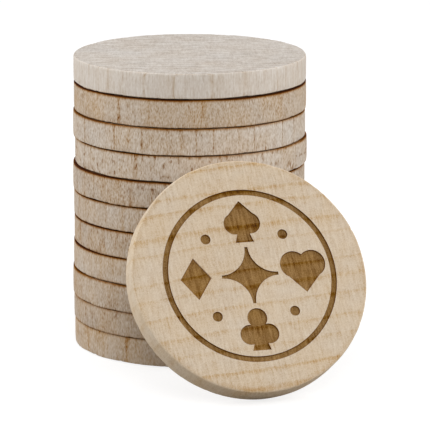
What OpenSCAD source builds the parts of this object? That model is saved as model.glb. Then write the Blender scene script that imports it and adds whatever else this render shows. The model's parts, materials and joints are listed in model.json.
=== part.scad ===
// A set of round wooden game tokens: a stack of plain ones and an engraved one leaning on it.
// The origin is the centre of the underside of the stack. Up is +Z, the front is -Y. Lengths are in mm.

/* [Token] */
// Diameter of every token
token_d = 38; // [30:0.5:50]
// Thickness of the tokens, on average
token_t = 4.35; // [3.5:0.05:6]
// Radius of the rounded edge on both faces
edge_r = 0.35; // [0.15:0.05:0.8]

/* [Stack] */
// Largest sideways shift of a token in the stack
stack_shift = 0.4; // [0:0.05:1]

/* [Leaning token] */
// Angle by which the token leans back from upright
lean_angle = 31; // [20:0.5:40]
// Angle round the stack, from the front to the right, at which the token leans
lean_azimuth = 17.2; // [-90:0.1:90]
// Gap between the rear edge of the token and the stack
lean_gap = 0.12; // [0.05:0.01:0.5]

/* [Engraving] */
// Depth of the engraving
engrave_depth = 0.3; // [0.1:0.05:1]
// Radius of the engraved ring, to the middle of its line
ring_r = 13.6; // [12:0.1:14.2]
// Width of the line of the ring
ring_w = 0.9; // [0.4:0.1:1.2]
// Height of each card suit
suit_h = 6.8; // [4:0.1:7.4]
// Distance from the centre of the token to the middle of each suit
suit_place_r = 8.8; // [7.5:0.1:9.5]
// Length of the rays of the star, from the centre of the token
star_r = 4.6; // [3:0.1:5]
// Width of the tips of the star
star_tip_w = 0.5; // [0.3:0.05:1]
// Diameter of the dots between the suits
dot_d = 1.6; // [0.8:0.1:2.4]
// Distance from the centre of the token to each dot
dot_place_r = 8.9; // [7.5:0.1:10.5]

/* [Hidden] */
$fn = 96;
token_r = token_d / 2;

// Thickness and sideways shift of each token of the stack, from the bottom one to the top one
thickness_shares = [1, 0.94, 1.02, 1, 1.01, 0.98, 1.01, 1, 1.01, 1.06, 0.98];
shift_x_shares = [0, -0.3, -0.6, -0.25, 0.1, 0, -0.25, 0.6, -0.1, 0.25, 0.2];
shift_y_shares = [0, -0.3, -0.45, 0.05, 0.15, 0.05, -0.3, -0.45, -0.5, 0.3, 0.75];
stack_count = len(thickness_shares);

function thickness(i) = token_t * thickness_shares[i];
function underside(i) = i == 0 ? 0 : underside(i - 1) + thickness(i - 1);
function shift(i) = stack_shift * [shift_x_shares[i], shift_y_shares[i], 0];
function stack_name(i) = str("stack_token_", i < 9 ? "0" : "", i + 1);

// How far the stack reaches towards the leaning token beyond one token's radius
lean_way = [sin(lean_azimuth), -cos(lean_azimuth), 0];
stack_reach = max([for (i = [0 : stack_count - 1]) shift(i) * lean_way]);

// Place of the centre of the leaning token's rear face
edge_ring_r = token_r - edge_r;
lean_out = token_r + stack_reach + lean_gap + edge_ring_r * sin(lean_angle) + edge_r * (1 - cos(lean_angle));
lean_up = edge_ring_r * cos(lean_angle) + edge_r * (1 - sin(lean_angle));

// Proportions of the card suits, to their height
heart_lobe_share = 0.32;
heart_lobe_place_share = 0.225;
heart_point_shares = [[0, -0.5], [0.43, -0.04], [0, 0.3], [-0.43, -0.04]];
spade_head_share = 0.8;
stem_shares = [[-0.22, -0.5], [0.22, -0.5], [0.05, 0], [-0.05, 0]];
club_leaf_share = 0.235;
club_leaf_place_share = 0.225;
club_middle_share = 0.1;
diamond_shares = [[0.37, 0], [0, 0.5], [-0.37, 0], [0, -0.5]];

// Round blank with both edges rounded, its underside at the origin
module blank(t) {
  rotate_extrude()
    union() {
      square([edge_ring_r, t]);
      translate([0, edge_r]) square([token_r, t - 2 * edge_r]);
      for (y = [edge_r, t - edge_r]) translate([edge_ring_r, y]) circle(edge_r);
    }
}

// Plain token of the stack
module stack_token(i) {
  color("#c9b8a3") translate(shift(i) + [0, 0, underside(i)]) blank(thickness(i));
}

// Token that leans on the stack, engraved on the face turned to the front
module engraved_token() {
  color("#d0b992")
    rotate(lean_azimuth)
      translate([0, -lean_out, lean_up])
        rotate([90 - lean_angle, 0, 0])
          difference() {
            blank(token_t);
            translate([0, 0, token_t - engrave_depth])
              linear_extrude(height = 2 * engrave_depth) design();
          }
}

// Engraved design: a star, the four card suits and dots inside a ring
module design() {
  ring();
  star();
  translate([0, suit_place_r]) spade();
  translate([suit_place_r, 0]) heart(suit_h);
  translate([0, -suit_place_r]) club();
  translate([-suit_place_r, 0]) diamond();
  for (a = [45 : 90 : 315]) rotate(a) translate([dot_place_r, 0]) circle(d = dot_d);
}

module ring() {
  difference() {
    circle(ring_r + ring_w / 2);
    circle(ring_r - ring_w / 2);
  }
}

module star() {
  difference() {
    square(2 * star_r, center = true);
    for (x = [-1, 1], y = [-1, 1]) translate(star_r * [x, y]) circle(star_r - star_tip_w / 2);
  }
}

module heart(h) {
  lobe = h * heart_lobe_share;
  for (x = [-1, 1]) translate([x * h * heart_lobe_place_share, h / 2 - lobe]) circle(lobe);
  polygon(h * heart_point_shares);
}

module spade() {
  head = suit_h * spade_head_share;
  translate([0, (suit_h - head) / 2]) rotate(180) heart(head);
  polygon(suit_h * stem_shares);
}

module club() {
  leaf = suit_h * club_leaf_share;
  translate([0, suit_h / 2 - leaf]) circle(leaf);
  for (x = [-1, 1]) translate([x * suit_h * club_leaf_place_share, -leaf / 2]) circle(leaf);
  circle(suit_h * club_middle_share);
  polygon(suit_h * stem_shares);
}

module diamond() {
  polygon(suit_h * diamond_shares);
}

for (i = [0 : stack_count - 1]) stack_token(i);
engraved_token();
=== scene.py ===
import json
import math

import bmesh
import bpy
from mathutils import Matrix, Vector, noise


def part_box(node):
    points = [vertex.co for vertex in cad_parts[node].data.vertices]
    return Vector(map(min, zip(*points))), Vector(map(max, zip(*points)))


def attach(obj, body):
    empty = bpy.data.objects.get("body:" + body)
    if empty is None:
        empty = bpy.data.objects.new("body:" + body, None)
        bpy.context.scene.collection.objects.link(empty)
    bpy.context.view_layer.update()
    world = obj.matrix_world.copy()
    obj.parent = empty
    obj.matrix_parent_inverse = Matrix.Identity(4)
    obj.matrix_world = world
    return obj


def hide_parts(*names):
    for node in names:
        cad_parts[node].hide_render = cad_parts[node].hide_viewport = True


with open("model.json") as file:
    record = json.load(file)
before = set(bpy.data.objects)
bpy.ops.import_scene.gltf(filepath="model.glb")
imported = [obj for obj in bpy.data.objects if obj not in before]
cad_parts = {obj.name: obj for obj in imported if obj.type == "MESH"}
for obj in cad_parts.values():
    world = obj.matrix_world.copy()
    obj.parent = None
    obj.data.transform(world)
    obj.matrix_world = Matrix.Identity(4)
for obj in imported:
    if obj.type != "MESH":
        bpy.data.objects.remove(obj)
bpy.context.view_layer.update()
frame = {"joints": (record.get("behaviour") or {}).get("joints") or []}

# The plain tokens of the stack. Each is a slice sawn off a round maple rod, so its faces are end grain and
# its rim is long grain. Sanding and tumbling wear the edges round, and the tokens lie loose on each other.

MM = 0.001


def turned_blank(bm, radius, thickness, low_edge, high_edge):
    """Half section of a token with both edges rounded, spun round its axis, underside at the origin."""
    in_from_rim = (6, 2.6, 1.9, 1.3, 0.8, 0.4)
    edge_segments, rim_cuts, turn_steps = 7, 7, 240
    weld = 1e-7
    rows = [0, *(radius - back * MM for back in in_from_rim)]
    under = [bm.verts.new((r, 0, 0)) for r in (*rows, radius)]
    upper = [bm.verts.new((r, 0, thickness)) for r in (radius, *reversed(rows))]
    bm.faces.new(under + upper)
    for corner, edge in ((under[-1], low_edge), (upper[0], high_edge)):
        bmesh.ops.bevel(
            bm, geom=[corner], offset=edge, offset_type="OFFSET", affect="VERTICES", segments=edge_segments,
            profile=0.5, material=-1,
        )
    bmesh.ops.delete(bm, geom=bm.faces[:], context="FACES_ONLY")
    axis_line = [e for e in bm.edges if all(v.co.x < weld for v in e.verts)]
    bmesh.ops.delete(bm, geom=axis_line, context="EDGES")
    rim_line = [e for e in bm.edges if all(v.co.x > radius - weld for v in e.verts)]
    bmesh.ops.subdivide_edges(bm, edges=rim_line, cuts=rim_cuts)
    bmesh.ops.spin(
        bm, geom=bm.verts[:] + bm.edges[:], cent=(0, 0, 0), axis=(0, 0, 1), dvec=(0, 0, 0), angle=math.tau,
        steps=turn_steps, use_merge=True,
    )
    bmesh.ops.remove_doubles(bm, verts=bm.verts, dist=weld)
    bmesh.ops.recalc_face_normals(bm, faces=bm.faces)


def wear(bm, radius, thickness, seed, seam):
    """Uneven edges and a rim that isn't quite round, as the saw and the tumbling leave them. The underside
    falls off a little towards the rim, so that a dark seam of that height shows above the token below."""
    sound_share = 0.8
    edge_reach, rim_reach, seam_reach, underside = 0.9, 2, 2.6, 0.4
    rubbed, rubbed_more, nicked, nicked_from = 0.04, 0.05, 0.16, 0.2
    out_of_round, seam_varies = 0.02, 0.4
    long_waves, short_waves, rim_waves = 4, 45, 2.5
    for v in bm.verts:
        out = Vector((v.co.x, v.co.y, 0))
        r = out.length
        if r < radius * sound_share:
            continue
        out.normalize()
        up = 1 if v.co.z > thickness / 2 else -1
        to_face = thickness - v.co.z if up > 0 else v.co.z
        corner = math.hypot(radius - r, to_face)
        slow = noise.noise(out * long_waves + Vector((0, 0, seed + up * 3)))
        fast = noise.noise(out * short_waves + Vector((0, 0, seed + up * 7)))
        loss = rubbed + rubbed_more * slow + nicked * max(0, fast - nicked_from)
        loss = loss * max(0, 1 - corner / (edge_reach * MM)) * MM
        v.co -= (out + Vector((0, 0, up))) * max(0, loss)
        waver = noise.noise(out * rim_waves + Vector((seed, 0, 0))) * out_of_round - out_of_round
        v.co += out * waver * MM * max(0, 1 - (radius - r) / (rim_reach * MM))
        if up < 0 and to_face < underside * MM:
            fall = max(0, 1 - (radius - r) / (seam_reach * MM)) ** 2
            v.co.z += seam * (1 + seam_varies * slow) * MM * fall


def tone(code):
    """Colour from its six-digit screen code, as linear values."""
    parts = [int(code[i : i + 2], 16) / 255 for i in (0, 2, 4)]
    return [p / 12.92 if p < 0.04045 else ((p + 0.055) / 1.055) ** 2.4 for p in parts] + [1]


def add_node(tree, kind, inputs, **settings):
    """New shader node, with each input linked to a socket or set to a value."""
    made = tree.nodes.new("ShaderNode" + kind)
    for name, value in settings.items():
        setattr(made, name, value)
    for name, value in inputs.items():
        if isinstance(value, bpy.types.NodeSocket):
            tree.links.new(value, made.inputs[name])
        else:
            made.inputs[name].default_value = value
    return made


def calc(tree, operation, *values, clamp=False):
    return add_node(tree, "Math", dict(enumerate(values)), operation=operation, use_clamp=clamp).outputs[0]


def towards(tree, value, goal, share):
    """The value, moved to the goal by a share from 0 to 1."""
    return calc(tree, "MULTIPLY_ADD", share, calc(tree, "SUBTRACT", goal, value), value)


def off_axis(tree, place):
    """Distance of a place from the line along Z."""
    flat = add_node(tree, "VectorMath", {0: place, 1: (1, 1, 0)}, operation="MULTIPLY").outputs[0]
    return add_node(tree, "VectorMath", {0: flat}, operation="LENGTH").outputs["Value"]


def grain(tree, place, stretch, seed, detail=2.0):
    """Noise drawn out along the rod, the rays or the growth rings, about -1 to 1. The stretch says how often
    it repeats in a millimetre, across the growth rings, along them and along the rod."""
    drawn = add_node(tree, "VectorMath", {0: place, 1: stretch}, operation="MULTIPLY").outputs[0]
    made = add_node(
        tree, "TexNoise", {"Vector": drawn, "W": seed, "Scale": 1.0, "Detail": detail, "Roughness": 0.55},
        noise_dimensions="4D",
    )
    return calc(tree, "MULTIPLY_ADD", made.outputs[0], 4.0, -2.0)


def ramp(tree, factor, stops):
    """Colours or levels at their positions along a factor from 0 to 1."""
    made = add_node(tree, "ValToRGB", {0: factor})
    elements = made.color_ramp.elements
    while len(elements) < len(stops):
        elements.new(0.5)
    for element, (position, colour) in zip(elements, stops):
        element.position = position
        element.color = colour if isinstance(colour, list) else (colour, colour, colour, 1)
    return made.outputs[0]


def rod_wood(
    name, origin, tilt, size, seed, tones, *, depth, warmth, patches, growth, pith, spacing, rings, soft,
    rays, fibres, flecks, speckle, scorch_and_seam_shade, face,
):
    """Maple as a solid. Growth rings curve round the pith, which lies outside the token, with rays across
    them and fibres along the token's axis. Both arrises are turned brown by the saw, and painted shade
    darkens them further where the tokens meet in a seam or stand on the table, as a pair of values says for
    the lower and the upper one. The faces are end grain, with a depth of tone, a strength of rings, a warmth
    and a mottle of their own."""
    radius, thickness = size[0] / MM, size[1] / MM
    material = bpy.data.materials.new(name)
    material.use_nodes = True
    tree = material.node_tree
    tree.nodes.clear()

    # places in the token and in the tree it came from, in millimetres
    face_skin = 0.06
    source = add_node(tree, "TexCoord", {}).outputs["Object"]
    token_place = add_node(
        tree, "Mapping", {"Vector": source, "Location": origin, "Rotation": tilt, "Scale": (MM, MM, MM)},
        vector_type="TEXTURE",
    ).outputs[0]
    turn = (0, 0, -math.radians(growth))
    place = add_node(
        tree, "Mapping", {"Vector": token_place, "Rotation": turn, "Location": (pith, 0, 0)}
    ).outputs[0]
    from_axis = off_axis(tree, token_place)
    rise = add_node(tree, "SeparateXYZ", {0: token_place}).outputs["Z"]
    off_middle = calc(tree, "ABSOLUTE", calc(tree, "SUBTRACT", rise, thickness / 2))
    on_face = calc(tree, "GREATER_THAN", off_middle, thickness / 2 - face_skin)
    on_rim = calc(tree, "SUBTRACT", 1.0, on_face)

    def by_side(rim_value, face_value):
        return calc(tree, "MULTIPLY_ADD", on_face, face_value - rim_value, rim_value)

    # growth rings, wavy and of uneven width, each with a dark line of late wood
    sweep_size, ripple_size, uneven_years = 0.5, 0.12, 1.0
    sweep = grain(tree, place, (0.05, 0.04, 0.01), seed, 1.0)
    ripple = grain(tree, place, (0.35, 0.6, 0.06), seed + 3)
    across = calc(tree, "MULTIPLY_ADD", sweep, sweep_size, off_axis(tree, place))
    across = calc(tree, "MULTIPLY_ADD", ripple, ripple_size, across)
    years = calc(tree, "DIVIDE", across, spacing)
    uneven = add_node(
        tree, "TexNoise", {"W": years, "Scale": 0.7, "Detail": 1.0}, noise_dimensions="1D"
    ).outputs[0]
    years = calc(tree, "MULTIPLY_ADD", uneven, uneven_years, calc(tree, "ADD", years, seed))
    late_wood = [
        (0, 0.1), (0.45, 0.0), (0.88 - soft, 0.2), (0.95 - soft / 3, 1.0), (0.98, 0.4 + soft),
        (1, 0.1 + soft / 2),
    ]
    line = ramp(tree, calc(tree, "FRACT", years), late_wood)
    this_year = calc(tree, "FLOOR", years)
    strength = add_node(tree, "TexWhiteNoise", {"W": this_year}, noise_dimensions="1D").outputs[0]

    # rays, pores, fibres, figure, clouds of tone and of warmth, and flecks on the rim
    fleck_from, fleck_most = 0.35, 0.28
    ray = grain(tree, place, (0.4, 2.8, 0.9), seed + 11)
    pore = grain(tree, place, (6.0, 6.0, 2.0), seed + 17, 1.0)
    fibre = grain(tree, place, (5.0, 5.0, 0.45), seed + 19)
    figure = grain(tree, place, (1.9, 0.5, 0.4), seed + 23)
    cloud = grain(tree, place, (0.1, 0.07, 0.06), seed + 29)
    spindle = grain(tree, place, (0.3, 1.8, 0.8), seed + 31, 1.0)
    blush = grain(tree, place, (0.22, 0.22, 0.16), seed + 37)
    fleck = calc(tree, "MULTIPLY", calc(tree, "SUBTRACT", spindle, fleck_from, clamp=True), flecks)
    fleck = calc(tree, "MULTIPLY", calc(tree, "MINIMUM", fleck, fleck_most), on_rim)

    # depth of tone from all of them
    faintest_line, ray_breaks, unbroken = 0.5, 0.35, 0.85
    rim_mottle, cloudy = 0.05, 0.06
    line_share = calc(tree, "MULTIPLY_ADD", strength, 1 - faintest_line, faintest_line)
    line = calc(tree, "MULTIPLY", line, line_share)
    line = calc(tree, "MULTIPLY", line, calc(tree, "MULTIPLY_ADD", ray, ray_breaks, unbroken))
    dark = calc(tree, "MULTIPLY_ADD", line, by_side(rings, face["rings"]), by_side(depth, face["depth"]))
    for pattern, share in (
        (pore, speckle), (fibre, fibres), (ray, rays), (figure, by_side(rim_mottle, face["mottle"])),
        (cloud, cloudy), (fleck, 1.0),
    ):
        dark = calc(tree, "MULTIPLY_ADD", pattern, share, dark)

    # arrises turned brown by the saw, and painted shade in the seams between the tokens and under the bottom
    # one, both fading inwards from the rim and away from each face; the tone goes to the darkest colour
    # there
    brown_shade_in, brown_shade_fade, lower_brown_shade_fade, upper_brown_shade_fade = 0.45, 0.6, 0.35, 0.65
    brown_shade_varies, brown_shade_mean = 0.3, 0.9
    brown_shade_offset = 1 - (radius - brown_shade_in) / brown_shade_fade
    rim_brown_shade = calc(tree, "MULTIPLY_ADD", from_axis, 1 / brown_shade_fade, brown_shade_offset, clamp=True)
    rim_brown_shade = calc(tree, "MULTIPLY", rim_brown_shade, calc(tree, "MULTIPLY_ADD", cloud, brown_shade_varies, brown_shade_mean))
    lower_arris_brown_shade = calc(tree, "MULTIPLY_ADD", rise, -1 / lower_brown_shade_fade, 1.0, clamp=True)
    upper_arris_brown_shade = calc(tree, "MULTIPLY_ADD", rise, 1 / upper_brown_shade_fade, 1 - thickness / upper_brown_shade_fade, clamp=True)
    saw_brown_and_seam_shade = calc(tree, "MULTIPLY", lower_arris_brown_shade, scorch_and_seam_shade[0])
    saw_brown_and_seam_shade = calc(tree, "MULTIPLY_ADD", calc(tree, "POWER", upper_arris_brown_shade, 2.0), scorch_and_seam_shade[1], saw_brown_and_seam_shade)
    saw_brown_and_seam_shade = calc(tree, "MULTIPLY", saw_brown_and_seam_shade, rim_brown_shade, clamp=True)
    dark = towards(tree, dark, 1.0, saw_brown_and_seam_shade)

    # colour, warmer in the lines of late wood and where the arrises are brown from the saw or carry the
    # painted seam shade
    tone_steps = (0.0, 0.36, 0.6, 0.85, 1.0)
    line_warmth, brown_shade_warmth = 0.2, 1.2
    colour = ramp(tree, dark, [(step, tone(code)) for step, code in zip(tone_steps, tones)])
    tinge = calc(tree, "MULTIPLY_ADD", blush, patches, by_side(warmth, face["warmth"]))
    tinge = calc(tree, "MULTIPLY_ADD", line, line_warmth, tinge)
    tinge = towards(tree, tinge, brown_shade_warmth, saw_brown_and_seam_shade)
    colour = add_node(tree, "HueSaturation", {"Saturation": tinge, "Color": colour}).outputs[0]

    # bare sanded surface, uneven at the pores, rays and lines
    line_height, ray_height, bump_strength, bump_depth = -0.5, -0.4, 0.4, 0.02 * MM
    roughness, rougher_pores, rougher_brown_shade, shine = 0.62, 0.06, 0.3, 0.08
    height = calc(tree, "MULTIPLY_ADD", ray, ray_height, pore)
    height = calc(tree, "MULTIPLY_ADD", line, line_height, height)
    bump = add_node(tree, "Bump", {"Height": height, "Strength": bump_strength, "Distance": bump_depth})
    matt = calc(tree, "MULTIPLY_ADD", pore, rougher_pores, roughness)
    # rougher where the arrises are brown from the saw or carry the painted seam shade
    matt = calc(tree, "MULTIPLY_ADD", saw_brown_and_seam_shade, rougher_brown_shade, matt, clamp=True)
    surface = add_node(
        tree, "BsdfPrincipled",
        {"Base Color": colour, "Roughness": matt, "Specular IOR Level": shine, "Normal": bump.outputs[0]},
    )
    tree.links.new(surface.outputs[0], add_node(tree, "OutputMaterial", {}).inputs[0])
    return material


def in_order(bm):
    """Vertices, edges and faces sorted by their place, so that each run gives the same mesh."""
    slant = Vector((0.8017, 0.5351, 0.2673))
    bm.verts.sort(key=lambda v: slant.dot(v.co))
    bm.verts.index_update()
    for parts in (bm.edges, bm.faces):
        parts.sort(key=lambda part: sum(v.index**3 for v in part.verts))


def piece(name, bm, *materials):
    """Smooth object made of a mesh that is already in its place."""
    for face in bm.faces:
        face.smooth = True
    in_order(bm)
    mesh = bpy.data.meshes.new(name)
    bm.to_mesh(mesh)
    bm.free()
    for material in materials:
        mesh.materials.append(material)
    made = bpy.data.objects.new(name, mesh)
    bpy.context.scene.collection.objects.link(made)
    return made


# stack tones from pale to dark; the darkest is the near-black brown painted as shade in the seams
BEIGE_TO_SEAM_SHADE = ("e3dad0", "cfbfad", "b9a186", "8a6038", "46200a")
stack_look = [
    # depth of tone, its warmth, speckle, way that the growth rings lie in degrees, their spacing in mm,
    # their strength, strength of the flecks, height of the seam above in mm, how brown the arrises there are
    # together with the painted shade of that seam
    (0.46, 1.1, 0.21, -70, 3.2, 0.2, 0.05, 0.06, 0.7),
    (0.52, 0.86, 0.2, -20, 2.6, 0.15, 0.05, 0.06, 0.7),
    (0.47, 0.92, 0.22, -150, 2.8, 0.15, 0.1, 0.09, 1.1),
    (0.40, 0.92, 0.24, -40, 2.4, 0.15, 0.05, 0.11, 1.2),
    (0.52, 0.92, 0.25, -110, 2.7, 0.15, 0.15, 0.11, 1.3),
    (0.44, 0.9, 0.26, -80, 2.5, 0.15, 0.05, 0.13, 1.1),
    (0.47, 0.9, 0.28, -15, 2.9, 0.25, 0.2, 0.19, 1.2),
    (0.37, 0.9, 0.3, -95, 2.6, 0.2, 0.9, 0.13, 1.0),
    (0.35, 0.86, 0.3, 176, 2.3, 0.42, 0.1, 0.11, 1.0),
    (0.44, 1.0, 0.27, -60, 3.4, 0.2, 0.15, 0.165, 1.4),
    (0.14, 0.8, 0.12, -88, 1.6, 0.32, 0.0, 0.0, 0),
]
sawn_edge, eased_edge = 0.06 * MM, 0.25 * MM
# each underside takes most of the saw brown and painted shade of the seam below it, and the bottom token's
# underside gets painted shade where it stands on the table
underside_brown_and_shade = 0.9
wear_step, wood_step = 13.7, 5.3
seam_below, brown_and_shade_below = 0.06, 0.2
for number, look in enumerate(stack_look, 1):
    depth, warmth, speckle, growth, spacing, rings, flecks, seam, seam_brown_and_shade = look
    # the top token comes from a thicker, paler log than those below and has a softer edge
    if number == len(stack_look):
        high_edge, patches, pith, fibres, face_depth, face_warmth = eased_edge, 0.08, 140, 0.19, 0.4, 0.5
    else:
        high_edge, patches, pith, fibres, face_depth, face_warmth = sawn_edge, 0.22, 31, 0.1, 0.42, 0.75
    node = f"stack_token_{number:02d}"
    low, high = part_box(node)
    origin = Vector(((low.x + high.x) / 2, (low.y + high.y) / 2, low.z))
    radius, thickness = (high.x - low.x) / 2, high.z - low.z
    bm = bmesh.new()
    turned_blank(bm, radius, thickness, sawn_edge, high_edge)
    wear(bm, radius, thickness, number * wear_step, seam_below)
    bmesh.ops.translate(bm, verts=bm.verts, vec=origin)
    wood = rod_wood(
        f"maple_{number:02d}", origin, (0, 0, 0), (radius, thickness), number * wood_step, BEIGE_TO_SEAM_SHADE,
        depth=depth, warmth=warmth, patches=patches, growth=growth, pith=pith, spacing=spacing, rings=rings,
        soft=0.02, rays=0.08, fibres=fibres, flecks=flecks, speckle=speckle,
        scorch_and_seam_shade=(brown_and_shade_below * underside_brown_and_shade, seam_brown_and_shade),
        face={"depth": face_depth, "rings": rings, "warmth": face_warmth, "mottle": 0.2},
    )
    token = piece(f"plain_token_{number:02d}", bm, wood)
    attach(token, node)
    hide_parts(node)
    seam_below, brown_and_shade_below = seam, seam_brown_and_shade

# The engraved token. It is a slice of the same kind of rod, with a design burnt into its front face by a
# laser: card suits, a star and dots inside a ring. It stands on its lower edge and leans on the stack.

HONEY = ("e2d3bf", "d0bca2", "bc9f7c", "98744c", "6f4a22")
BURNT = ("a6814d", "8c6938", "785323", "5c370f", "432405")
CHAR = ("8f6530", "7a5222", "6a4217", "54300c", "3f2206")
RECESS = 0.3 * MM
round_edge, back_fall, wear_seed = 0.3 * MM, 0.02, 171.3
low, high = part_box("stack_token_01")
radius, thickness = (high.x - low.x) / 2, high.z - low.z
face_height = thickness / 2
low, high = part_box("engraved_token")
outwards = next(Vector(j["axis"]) for j in frame["joints"] if j["child"] == "engraved_token")
upright = outwards.to_track_quat("Z", "Y").to_matrix().to_4x4()
in_place = Matrix.Translation((low + high) / 2) @ upright

bm = bmesh.new()
turned_blank(bm, radius, thickness, round_edge, round_edge)
wear(bm, radius, thickness, wear_seed, back_fall)
bmesh.ops.translate(bm, verts=bm.verts, vec=(0, 0, -face_height))
engraved_blank = piece("engraved_blank", bm)


def round_cut(bm, x, y, r):
    """Round cutter, in millimetres on the face."""
    bmesh.ops.create_cone(
        bm, cap_ends=True, segments=72, radius1=r * MM, radius2=r * MM, depth=2 * RECESS,
        matrix=Matrix.Translation((x * MM, y * MM, face_height)),
    )


def outline_cut(bm, points):
    """Straight-sided cutter with an outline of points, in millimetres on the face."""
    floor = bm.faces.new([bm.verts.new((x * MM, y * MM, face_height - RECESS)) for x, y in points])
    grown = bmesh.ops.extrude_face_region(bm, geom=[floor])["geom"]
    lifted = [g for g in grown if isinstance(g, bmesh.types.BMVert)]
    bmesh.ops.translate(bm, verts=lifted, vec=(0, 0, 2 * RECESS))


def heart_cut(bm, x, y, h, way):
    """Heart of height h, with its point down, or up where the way is -1."""
    lobe, lobe_out, lobe_up = 0.32 * h, 0.225 * h, 0.18 * h
    for side in (-1, 1):
        round_cut(bm, x + side * lobe_out, y + way * lobe_up, lobe)
    point = ((0, -0.5), (0.43, -0.04), (0, 0.3), (-0.43, -0.04))
    outline_cut(bm, [(x + px * h, y + way * py * h) for px, py in point])


def stem_cut(bm, y, h):
    """Stem of the spade and the club, from the middle of the suit down."""
    foot, neck = 0.22, 0.05
    stem = ((-foot, -0.5), (foot, -0.5), (neck, 0), (-neck, 0))
    outline_cut(bm, [(px * h, y + py * h) for px, py in stem])


suit, reach = 6.8, 8.8
cut = bmesh.new()
spade_up, spade_body = 0.1 * suit, 0.8 * suit
heart_cut(cut, 0, reach + spade_up, spade_body, -1)
stem_cut(cut, reach, suit)
heart_cut(cut, reach, 0, suit, 1)
leaf, leaf_up, leaf_out, leaf_down, leaf_join = (s * suit for s in (0.235, 0.265, 0.225, 0.1175, 0.1))
round_cut(cut, 0, -reach + leaf_up, leaf)
for side in (-1, 1):
    round_cut(cut, side * leaf_out, -reach - leaf_down, leaf)
round_cut(cut, 0, -reach, leaf_join)
stem_cut(cut, -reach, suit)
diamond = ((0.37, 0), (0, 0.5), (-0.37, 0), (0, -0.5))
outline_cut(cut, [(-reach + px * suit, py * suit) for px, py in diamond])
dot, dot_reach = 0.8, 8.9
for quarter in range(4):
    angle = math.radians(45 + 90 * quarter)
    round_cut(cut, dot_reach * math.cos(angle), dot_reach * math.sin(angle), dot)
star, tip, arc_steps = 4.6, 0.5, 16
hollow = star - tip / 2
quarter_arc = [
    (star + hollow * math.cos(a), star + hollow * math.sin(a))
    for a in (math.radians(270 - 90 * step / arc_steps) for step in range(arc_steps + 1))
]
star_points = []
for quarter in range(4):
    for x, y in quarter_arc:
        turned = Matrix.Rotation(math.pi / 2 * quarter, 2) @ Vector((x, y))
        star_points.append((turned.x, turned.y))
outline_cut(cut, star_points)
ring_inner, ring_outer, ring_steps = 13.15, 14.05, 180
cutter_weld, carved_weld = 1e-8, 1e-6
section = ((ring_inner, -1), (ring_outer, -1), (ring_outer, 1), (ring_inner, 1))
band = [cut.verts.new((r * MM, 0, face_height + z * RECESS)) for r, z in section]
band_lines = [cut.edges.new((band[i], band[(i + 1) % 4])) for i in range(4)]
bmesh.ops.spin(
    cut, geom=band + band_lines, cent=(0, 0, 0), axis=(0, 0, 1), dvec=(0, 0, 0), angle=math.tau,
    steps=ring_steps, use_merge=True,
)
bmesh.ops.remove_doubles(cut, verts=cut.verts, dist=cutter_weld)
for v in cut.verts:
    v.co.z = face_height + math.copysign(RECESS, v.co.z - face_height)
bmesh.ops.recalc_face_normals(cut, faces=cut.faces)
engraving = piece("engraving", cut)

carve = engraved_blank.modifiers.new("engrave", "BOOLEAN")
carve.operation = "DIFFERENCE"
carve.solver = "EXACT"
carve.use_self = True
carve.object = engraving
bpy.context.view_layer.update()
bm = bmesh.new()
bm.from_object(engraved_blank, bpy.context.evaluated_depsgraph_get())
for scrap in (engraved_blank, engraving):
    bpy.data.objects.remove(scrap)
bmesh.ops.remove_doubles(bm, verts=bm.verts, dist=carved_weld)
in_order(bm)

below_face, inside_rim, inside_ring = face_height - 0.05 * MM, 15 * MM, 12.8 * MM
level, charred, sharp_from = 0.9, 0.1 * MM, 40
for face in bm.faces:
    centre = face.calc_center_median()
    if 0 < centre.z < below_face and centre.xy.length < inside_rim:
        face.material_index = 1 if face.normal.z > level else 2
inner = [f for f in bm.faces if f.material_index == 1 and f.calc_center_median().xy.length < inside_ring]
bmesh.ops.dissolve_faces(bm, faces=inner)
floors = [f for f in bm.faces if f.material_index == 1]
outline = bmesh.ops.inset_region(
    bm, faces=floors, thickness=charred, depth=0, use_boundary=True, use_even_offset=True
)["faces"]
for face in outline:
    face.material_index = 2
bmesh.ops.transform(bm, matrix=in_place, verts=bm.verts)

engraved_looks = (
    # name, tones, depth of tone, warmth, patches of more or less warmth, strength of the growth rings,
    # strength of the rays, speckle
    ("maple_engraved", HONEY, 0.09, 1.08, 0.12, 0.2, 0.15, 0.14),
    ("maple_burnt", BURNT, 0.33, 0.97, 0.04, 0.55, 0.3, 0.25),
    ("maple_burnt_edge", CHAR, 0.34, 1.0, 0.04, 0.3, 0.1, 0.2),
)
back = in_place @ Vector((0, 0, -face_height))
wood_seed, face_deeper = 77.1, 0.22
looks = [
    rod_wood(
        name, back, upright.to_euler(), (radius, thickness), wood_seed, tones, depth=depth, warmth=warmth,
        patches=patches, growth=94, pith=600, spacing=3.3, rings=rings, soft=0.18, rays=rays, fibres=0.1,
        flecks=0.05, speckle=speckle, scorch_and_seam_shade=(0, 0.15),
        face={"depth": depth + face_deeper, "rings": rings, "warmth": 0.97, "mottle": 0.05},
    )
    for name, tones, depth, warmth, patches, rings, rays, speckle in engraved_looks
]
token = piece("engraved_token_face", bm, *looks)
token.data.set_sharp_from_angle(angle=math.radians(sharp_from))
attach(token, "engraved_token")
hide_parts("engraved_token")

# The table top, the soft light and the camera. The set stands on a plain white table in front of a white
# wall, under large soft lamps, and the camera looks a little down on it from the front.

table_half, table_drop = 3, 0.02 * MM
floor_mesh = bpy.data.meshes.new("table_top")
bm = bmesh.new()
bmesh.ops.create_grid(bm, x_segments=1, y_segments=1, size=table_half)
bm.to_mesh(floor_mesh)
bm.free()
floor = bpy.data.objects.new("table_top", floor_mesh)
floor.location.z = -table_drop
bpy.context.scene.collection.objects.link(floor)


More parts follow.
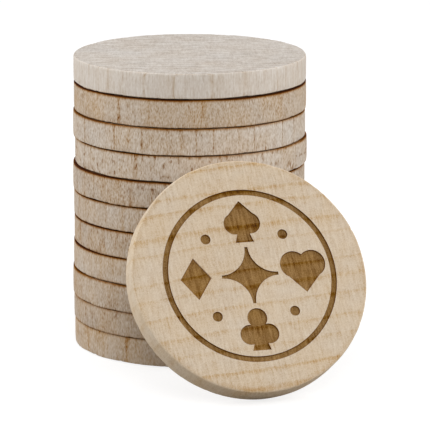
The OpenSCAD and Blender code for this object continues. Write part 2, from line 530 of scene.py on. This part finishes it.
def seen_straight(tree):
    """1 where the camera, a reflection or a view through glass looks at the surface, and 0 in its light."""
    seen = add_node(tree, "LightPath", {}).outputs
    mirrored = calc(tree, "MAXIMUM", seen["Is Glossy Ray"], seen["Is Transmission Ray"])
    return calc(tree, "MAXIMUM", seen["Is Camera Ray"], mirrored)


# near the tokens the table takes their shadow, and farther out it fades to plain white
fade_from, fade_width = 0.15, 0.4
warm_bounce, grey = (0.36, 0.325, 0.28, 1), (0.36, 0.36, 0.36, 1)
white_light, near_glow = (1, 1, 1, 1), 0.75
white = bpy.data.materials.new("white_table")
white.use_nodes = True
tree = white.node_tree
tree.nodes.clear()
paper = add_node(tree, "BsdfDiffuse", {"Color": warm_bounce}).outputs[0]
shade = add_node(tree, "BsdfDiffuse", {"Color": grey}).outputs[0]
glow = add_node(tree, "Emission", {"Color": white_light, "Strength": near_glow}).outputs[0]
near = add_node(tree, "AddShader", {0: shade, 1: glow}).outputs[0]
spot = add_node(tree, "TexCoord", {}).outputs["Object"]
away = add_node(tree, "VectorMath", {0: spot}, operation="LENGTH").outputs["Value"]
away = calc(tree, "MULTIPLY_ADD", away, 1 / fade_width, -fade_from / fade_width, clamp=True)
plain = add_node(tree, "Emission", {"Color": white_light, "Strength": 1.0}).outputs[0]
lit = add_node(tree, "MixShader", {0: away, 1: near, 2: plain}).outputs[0]
shown = add_node(tree, "MixShader", {0: seen_straight(tree), 1: paper, 2: lit}).outputs[0]
tree.links.new(shown, add_node(tree, "OutputMaterial", {}).inputs[0])
floor_mesh.materials.append(white)

room_light = 0.5
world = bpy.data.worlds.new("white_room")
bpy.context.scene.world = world
world.use_nodes = True
tree = world.node_tree
tree.nodes.clear()
brightness = calc(tree, "MULTIPLY_ADD", seen_straight(tree), 1 - room_light, room_light)
sky = add_node(tree, "Background", {"Color": white_light, "Strength": brightness}).outputs[0]
tree.links.new(sky, add_node(tree, "OutputWorld", {}).inputs[0])

lamp_size = 0.5
lit_middle = Vector((0.004, -0.012, 0.022))
for name, place, power in (
    ("key_lamp", (0.15, -0.65, 0.6), 2.7),
    ("left_lamp", (-0.62, 0.08, 0.3), 2.4),
    ("right_lamp", (0.62, 0.02, 0.3), 1.75),
):
    lamp = bpy.data.lights.new(name, "AREA")
    lamp.shape = "SQUARE"
    lamp.size = lamp_size
    lamp.energy = power
    lamp_object = bpy.data.objects.new(name, lamp)
    lamp_object.location = place
    lamp_object.rotation_euler = (lit_middle - Vector(place)).to_track_quat("-Z", "Y").to_euler()
    bpy.context.scene.collection.objects.link(lamp_object)

look_down = 12.82
camera = bpy.data.cameras.new("front_camera")
camera.sensor_width = 36
camera.lens = 270.9
camera.clip_start = 0.01
camera.clip_end = 20
camera_object = bpy.data.objects.new("front_camera", camera)
camera_object.location = (0.00419, -0.520, 0.1392)
camera_object.rotation_euler = (math.radians(90 - look_down), 0, 0)
bpy.context.scene.collection.objects.link(camera_object)
bpy.context.scene.camera = camera_object
bpy.context.scene.view_settings.view_transform = "Standard"
